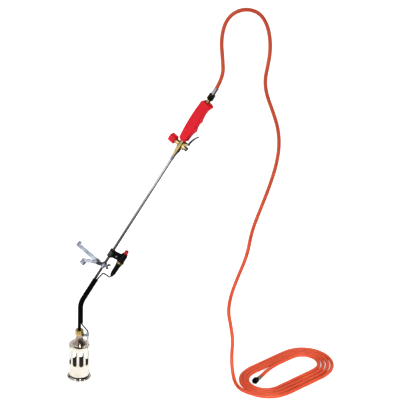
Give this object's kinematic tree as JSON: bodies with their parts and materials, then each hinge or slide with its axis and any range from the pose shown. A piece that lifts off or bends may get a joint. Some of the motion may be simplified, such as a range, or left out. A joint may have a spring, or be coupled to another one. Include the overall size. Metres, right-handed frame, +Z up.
{
  "type": "gas torch",
  "caption": "Propane weed and roofing torch: slotted burner bell on a bent wand, push-button igniter, folding stand, trigger valve, grip and coiled hose.",
  "frame": {"origin": "on the wand's axis at the middle of the grip, where the hand holds it", "axes": "+Z up with the burner's mouth level below and the wand leaning towards +X as it rises, -Y towards the viewer of the control knob, +X towards the hose's coil"},
  "size_m": [0.8104, 0.2907, 1.2216],
  "materials": {
    "burner_steel": "bright steel, faintly straw coloured",
    "brass": "turned brass, satin",
    "ceramic": "unglazed white",
    "chrome_tube": "polished tube",
    "bright_steel": "zinc plated",
    "spring_steel": "drawn wire",
    "black_rubber": "matt moulded rubber",
    "black_sleeve": "glass-fibre sleeve coated with silicone",
    "black_plastic": "moulded, satin",
    "red_plastic": "moulded, satin gloss",
    "black_steel": "blackened steel",
    "pale_brass": "pale brass, crimped",
    "red_hose": "smooth extruded rubber"
  },
  "bodies": {
    "torch": {"burner_bell": "burner_steel", "bell_cap": "burner_steel", "cap_rivets": "burner_steel", "jet_holder": "brass", "gas_jet": "brass", "electrode_bracket": "burner_steel", "electrode_insulator": "ceramic", "spark_electrode": "bright_steel", "electrode_boot": "black_rubber", "wand_tube": "chrome_tube", "heat_sleeve": "black_sleeve", "ignition_wire": "black_rubber", "igniter_clamp_front": "black_plastic", "igniter_clamp_back": "black_plastic", "clamp_band": "bright_steel", "clamp_screw": "bright_steel", "piezo_body": "black_plastic", "piezo_crystal": "ceramic", "piezo_spring": "spring_steel", "piezo_nut": "brass", "piezo_terminal": "bright_steel", "igniter_boot": "black_rubber", "valve_body": "brass", "bonnet": "brass", "stem_seal": "black_rubber", "trigger_spring": "spring_steel", "lever_pin": "bright_steel", "wand_nut": "brass", "wand_collet": "bright_steel", "grip_front": "red_plastic", "grip_back": "red_plastic", "grip_screws": "bright_steel", "handle_tube": "chrome_tube", "inlet_nipple": "brass", "hose_tailpiece": "brass", "crimp_ferrule": "bright_steel", "hose_run": "red_hose", "hose_coil": "red_hose", "hose_tail": "red_hose", "end_tailpiece": "black_steel", "end_ferrule": "pale_brass"},
    "stand_mount": {"stand_clamp": "chrome_tube", "stand_pin": "bright_steel"},
    "stand": {"stand_legs": "bright_steel"},
    "wing_screw": {"wing_screw": "bright_steel"},
    "igniter_button": {"piezo_button": "red_plastic"},
    "knob": {"control_knob": "red_plastic", "knob_screw": "bright_steel", "valve_spindle": "brass"},
    "needle": {"valve_needle": "brass"},
    "pilot": {"pilot_screw": "bright_steel"},
    "trigger": {"trigger_lever": "bright_steel"},
    "trigger_plunger": {"trigger_pin": "brass"},
    "hose_swivel_nut": {"hose_nut": "black_steel"},
    "gas_nut": {"end_nut": "black_steel"}
  },
  "joints": [
    {"name": "stand_slide", "type": "slide", "parent": "torch", "child": "stand_mount", "axis": [0.4695, 0, 0.8829], "range_m": [-0.012, 0.022]},
    {"name": "stand_fold", "type": "hinge", "parent": "stand_mount", "child": "stand", "pos_m": [-0.26733, -0.00333, -0.46944], "axis": [-0.1836, 0.9781, 0.0976], "range_deg": [-8, 82]},
    {"name": "wing_screw_turn", "type": "hinge", "parent": "stand_mount", "child": "wing_screw", "pos_m": [-0.24409, 0.00249, -0.48407], "axis": [0.8637, 0.2079, -0.4592], "range_deg": [0, 720]},
    {"name": "igniter_press", "type": "slide", "parent": "torch", "child": "igniter_button", "axis": [-0.4695, 0, -0.8829], "range_m": [0, 0.006], "stiffness_N_per_m": 900, "springref_m": -0.002, "deforming": ["piezo_spring"]},
    {"name": "knob_turn", "type": "hinge", "parent": "torch", "child": "knob", "pos_m": [-0.05842, 0.01362, -0.06521], "axis": [-0.7405, 0.5446, 0.3937], "range_deg": [0, 540]},
    {"name": "needle_lift", "type": "slide", "parent": "torch", "child": "needle", "axis": [-0.7405, 0.5446, 0.3937], "range_m": [0, 0.0016]},
    {"name": "pilot_turn", "type": "hinge", "parent": "torch", "child": "pilot", "pos_m": [-0.02695, -0.00953, -0.08194], "axis": [0.7405, -0.5446, -0.3937], "range_deg": [0, 270]},
    {"name": "trigger_squeeze", "type": "hinge", "parent": "torch", "child": "trigger", "pos_m": [-0.01889, -0.01062, -0.07037], "axis": [-0.4809, -0.8387, 0.2557], "range_deg": [0, 13], "stiffness_Nm_per_rad": 0.25, "springref_deg": -8.59},
    {"name": "trigger_plunge", "type": "slide", "parent": "torch", "child": "trigger_plunger", "axis": [-0.4695, 0, -0.8829], "range_m": [0, 0.0021], "deforming": ["trigger_spring"]},
    {"name": "hose_nut_turn", "type": "hinge", "parent": "torch", "child": "hose_swivel_nut", "pos_m": [0.04155, 0, 0.07814], "axis": [0.4695, 0, 0.8829], "continuous": true},
    {"name": "gas_nut_turn", "type": "hinge", "parent": "torch", "child": "gas_nut", "pos_m": [0.2056, -0.01402, -0.85249], "axis": [-0.4134, -0.8865, 0.2079], "continuous": true}
  ],
  "couplings": [
    {"joint": "needle_lift", "follows": "knob_turn", "m_per_rad": 0.00015915},
    {"joint": "trigger_plunge", "follows": "trigger_squeeze", "m_per_rad": 0.009}
  ]
}
